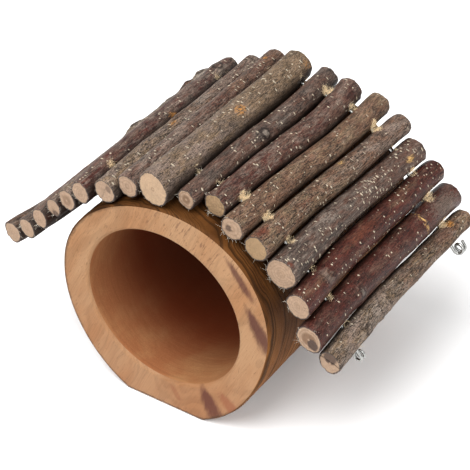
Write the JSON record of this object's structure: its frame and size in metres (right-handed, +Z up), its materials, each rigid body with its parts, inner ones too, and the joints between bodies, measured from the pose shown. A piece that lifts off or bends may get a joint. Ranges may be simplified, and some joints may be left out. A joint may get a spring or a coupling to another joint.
{
  "type": "wooden hamster tunnel",
  "caption": "Hollow wooden log with a bendable bridge of wired bark-covered sticks draped over it, a tunnel and climbing ramp for small pets.",
  "frame": {"origin": "on the log's planed foot, under the bore, halfway along the log", "axes": "+Z up, +Y along the tunnel from the front mouth to the back, +X to the right seen from the front"},
  "size_m": [0.1611, 0.1081, 0.1115],
  "materials": {
    "peeled_wood": "peeled and smoothed",
    "grey_bark": "natural bark",
    "red_bark": "natural bark",
    "olive_bark": "natural bark",
    "steel_wire": "bright drawn wire"
  },
  "bodies": {
    "tunnel_log": {"tunnel_log": "peeled_wood"},
    "stick_01": {"stick_01": "grey_bark"},
    "stick_02": {"stick_02": "grey_bark"},
    "stick_03": {"stick_03": "red_bark"},
    "stick_04": {"stick_04": "grey_bark"},
    "stick_05": {"stick_05": "red_bark"},
    "stick_06": {"stick_06": "red_bark"},
    "stick_07": {"stick_07": "grey_bark"},
    "stick_08": {"stick_08": "grey_bark"},
    "stick_09": {"stick_09": "olive_bark", "front_wire": "steel_wire", "rear_wire": "steel_wire"},
    "stick_10": {"stick_10": "red_bark"},
    "stick_11": {"stick_11": "grey_bark"},
    "stick_12": {"stick_12": "olive_bark"},
    "stick_13": {"stick_13": "olive_bark"},
    "stick_14": {"stick_14": "grey_bark"},
    "stick_15": {"stick_15": "red_bark"},
    "stick_16": {"stick_16": "red_bark"},
    "stick_17": {"stick_17": "grey_bark"}
  },
  "joints": [
    {"name": "bridge_lift", "type": "slide", "parent": "tunnel_log", "child": "stick_09", "axis": [0, 0, 1], "range_m": [0, 0.12]},
    {"name": "bend_01_02", "type": "hinge", "parent": "stick_02", "child": "stick_01", "pos_m": [-0.06592, 0.0025, 0.05328], "axis": [0.0791, 0.9954, -0.0542], "range_deg": [-10, 8], "deforming": ["front_wire", "rear_wire"]},
    {"name": "bend_02_03", "type": "hinge", "parent": "stick_03", "child": "stick_02", "pos_m": [-0.06079, 0.0025, 0.06182], "axis": [0.0336, 0.9992, -0.0203], "range_deg": [-8, 8], "deforming": ["front_wire", "rear_wire"]},
    {"name": "bend_03_04", "type": "hinge", "parent": "stick_04", "child": "stick_03", "pos_m": [-0.05552, 0.0025, 0.07027], "axis": [0.0074, 1, -0.0046], "range_deg": [-5, 15], "deforming": ["front_wire", "rear_wire"]},
    {"name": "bend_04_05", "type": "hinge", "parent": "stick_05", "child": "stick_04", "pos_m": [-0.04932, 0.0025, 0.07728], "axis": [0, 1, 0], "range_deg": [-3, 12], "deforming": ["front_wire", "rear_wire"]},
    {"name": "bend_05_06", "type": "hinge", "parent": "stick_06", "child": "stick_05", "pos_m": [-0.04216, 0.0025, 0.08457], "axis": [-0.0016, 1, -0.001], "range_deg": [-2, 24], "deforming": ["front_wire", "rear_wire"]},
    {"name": "bend_06_07", "type": "hinge", "parent": "stick_07", "child": "stick_06", "pos_m": [-0.03188, 0.0025, 0.09147], "axis": [-0.0016, 1, -0.001], "range_deg": [-1, 19], "deforming": ["front_wire", "rear_wire"]},
    {"name": "bend_07_08", "type": "hinge", "parent": "stick_08", "child": "stick_07", "pos_m": [-0.01992, 0.0025, 0.09763], "axis": [0.0026, 1, 0.0012], "range_deg": [0, 16], "deforming": ["front_wire", "rear_wire"]},
    {"name": "bend_08_09", "type": "hinge", "parent": "stick_09", "child": "stick_08", "pos_m": [-0.00961, 0.0025, 0.10214], "axis": [0.0066, 1, 0.0015], "range_deg": [0, 25], "deforming": ["front_wire", "rear_wire"]},
    {"name": "bend_09_10", "type": "hinge", "parent": "stick_09", "child": "stick_10", "pos_m": [0.00487, 0.0025, 0.10327], "axis": [-0.0129, -0.9999, 0.001], "range_deg": [0, 25], "deforming": ["front_wire", "rear_wire"]},
    {"name": "bend_10_11", "type": "hinge", "parent": "stick_10", "child": "stick_11", "pos_m": [0.01527, 0.0025, 0.10181], "axis": [-0.0254, -0.9997, 0.0057], "range_deg": [0, 19], "deforming": ["front_wire", "rear_wire"]},
    {"name": "bend_11_12", "type": "hinge", "parent": "stick_11", "child": "stick_12", "pos_m": [0.02618, 0.0025, 0.09887], "axis": [-0.0348, -0.9993, 0.0138], "range_deg": [0, 24], "deforming": ["front_wire", "rear_wire"]},
    {"name": "bend_12_13", "type": "hinge", "parent": "stick_12", "child": "stick_13", "pos_m": [0.03601, 0.0025, 0.09385], "axis": [-0.035, -0.9992, 0.0214], "range_deg": [0, 21], "deforming": ["front_wire", "rear_wire"]},
    {"name": "bend_13_14", "type": "hinge", "parent": "stick_13", "child": "stick_14", "pos_m": [0.04498, 0.0025, 0.08734], "axis": [-0.0256, -0.9995, 0.0206], "range_deg": [-3, 20], "deforming": ["front_wire", "rear_wire"]},
    {"name": "bend_14_15", "type": "hinge", "parent": "stick_14", "child": "stick_15", "pos_m": [0.05382, 0.0025, 0.07896], "axis": [-0.012, -0.9999, 0.0123], "range_deg": [-10, 20], "deforming": ["front_wire", "rear_wire"]},
    {"name": "bend_15_16", "type": "hinge", "parent": "stick_15", "child": "stick_16", "pos_m": [0.06136, 0.0025, 0.06949], "axis": [-0.0047, -1, 0.0061], "range_deg": [-15, 14], "deforming": ["front_wire", "rear_wire"]},
    {"name": "bend_16_17", "type": "hinge", "parent": "stick_16", "child": "stick_17", "pos_m": [0.06893, 0.0025, 0.05944], "axis": [-0.0004, -1, 0.0008], "range_deg": [-20, 9], "deforming": ["front_wire", "rear_wire"]}
  ]
}
